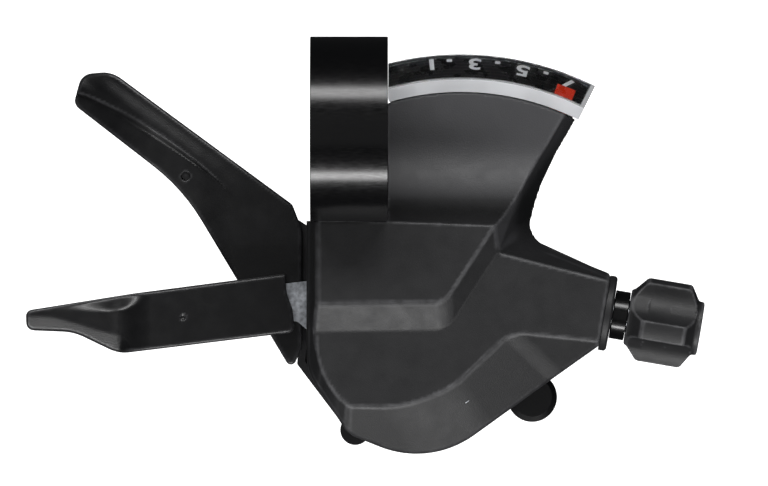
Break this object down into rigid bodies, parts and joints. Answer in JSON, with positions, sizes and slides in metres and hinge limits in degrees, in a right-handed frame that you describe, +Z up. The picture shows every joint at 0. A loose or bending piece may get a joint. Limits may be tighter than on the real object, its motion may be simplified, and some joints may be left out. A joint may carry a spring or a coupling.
{
  "type": "under-bar gear shifter",
  "caption": "Right-hand under-bar gear shifter with a bar clamp, thumb and finger levers, a geared gear-indicator window and a lobed cable adjuster.",
  "frame": {"origin": "centre of the handlebar clamp's bore", "axes": "+X along the handlebar towards the cable adjuster, +Y towards the rider, +Z up out of the top cover"},
  "size_m": [0.1035, 0.0634, 0.0475],
  "materials": {
    "satin_plastic": "fine moulded satin black",
    "gloss_band": "gloss black",
    "lever_plastic": "satin black with a light sheen",
    "dial_black": "black with white numbers",
    "clear_window": "clear moulded window",
    "needle_red": "orange red",
    "bright_steel": "pressed and plated",
    "coated_steel": "pressed and coated black",
    "zinc_steel": "zinc plated fastener",
    "spring_steel": "drawn wire",
    "nylon": "natural nylon"
  },
  "bodies": {
    "pod": {"top_cover": "satin_plastic", "lower_cover": "satin_plastic", "cover_screws": "zinc_steel", "boss_cap": "lever_plastic", "base_plate": "coated_steel", "top_plate": "bright_steel", "frame_posts": "zinc_steel", "main_axle": "zinc_steel", "axle_nut": "zinc_steel", "axle_bushes": "nylon", "clamp_band": "gloss_band", "clamp_bolt": "zinc_steel", "clamp_nut": "zinc_steel", "indicator_base": "satin_plastic", "dial_plate": "dial_black", "indicator_window": "clear_window", "needle_pin": "zinc_steel", "reel_spring": "spring_steel", "thumb_lever_spring": "spring_steel", "trigger_spring": "spring_steel", "positioning_pawl_pin": "zinc_steel", "positioning_pawl_spring": "spring_steel", "nozzle_collar": "satin_plastic", "adjuster_insert": "zinc_steel"},
    "reel": {"cable_reel": "nylon", "drive_pinion": "nylon", "ratchet_wheel": "bright_steel"},
    "needle": {"indicator_needle": "needle_red"},
    "thumb_lever": {"thumb_lever_plate": "coated_steel", "thumb_lever_cover": "lever_plastic", "winding_pawl_pin": "zinc_steel", "winding_pawl_spring": "spring_steel"},
    "winding_pawl": {"winding_pawl": "bright_steel"},
    "trigger": {"trigger_plate": "bright_steel", "trigger_cover": "lever_plastic"},
    "positioning_pawl": {"positioning_pawl": "bright_steel"},
    "detent_ring": {"adjuster_detent_ring": "gloss_band", "adjuster_spring": "spring_steel"},
    "adjuster": {"adjuster_bolt": "zinc_steel", "adjuster_knob": "lever_plastic"}
  },
  "joints": [
    {"name": "thumb_lever_hinge", "type": "hinge", "parent": "pod", "child": "thumb_lever", "pos_m": [0.007, -0.032, 0], "axis": [0, 0, 1], "range_deg": [0, 48], "stiffness_Nm_per_rad": 0.2, "springref_deg": -22.92},
    {"name": "trigger_hinge", "type": "hinge", "parent": "pod", "child": "trigger", "pos_m": [0.007, -0.032, 0], "axis": [0, 0, -1], "range_deg": [0, 14], "stiffness_Nm_per_rad": 0.2, "springref_deg": -17.19},
    {"name": "reel_hinge", "type": "hinge", "parent": "pod", "child": "reel", "pos_m": [0.007, -0.032, 0], "axis": [0, 0, 1], "range_deg": [0, 102.86], "stiffness_Nm_per_rad": 0.02, "springref_deg": -34.38},
    {"name": "needle_hinge", "type": "hinge", "parent": "pod", "child": "needle", "pos_m": [0.01705, -0.03401, 0], "axis": [0, 0, 1], "range_deg": [0, 27.57]},
    {"name": "winding_pawl_hinge", "type": "hinge", "parent": "thumb_lever", "child": "winding_pawl", "pos_m": [0.01765, -0.02585, 0], "axis": [0, 0, -1], "range_deg": [0, 8], "stiffness_Nm_per_rad": 0.002, "springref_deg": -17.19},
    {"name": "positioning_pawl_hinge", "type": "hinge", "parent": "pod", "child": "positioning_pawl", "pos_m": [0.00419, -0.04326, 0], "axis": [0, 0, -1], "range_deg": [0, 7]},
    {"name": "adjuster_turn", "type": "hinge", "parent": "pod", "child": "detent_ring", "pos_m": [0.0408, -0.02823, -0.0113], "axis": [0.986, -0.1668, 0], "range_deg": [0, 720]},
    {"name": "adjuster_slide", "type": "slide", "parent": "detent_ring", "child": "adjuster", "axis": [0.986, -0.1668, 0], "range_m": [0, 0.0016]}
  ],
  "couplings": [
    {"joint": "needle_hinge", "follows": "reel_hinge", "ratio": 0.26786},
    {"joint": "positioning_pawl_hinge", "follows": "trigger_hinge", "ratio": 0.5},
    {"joint": "adjuster_turn", "follows": "adjuster_slide", "rad_per_m": 7854}
  ]
}
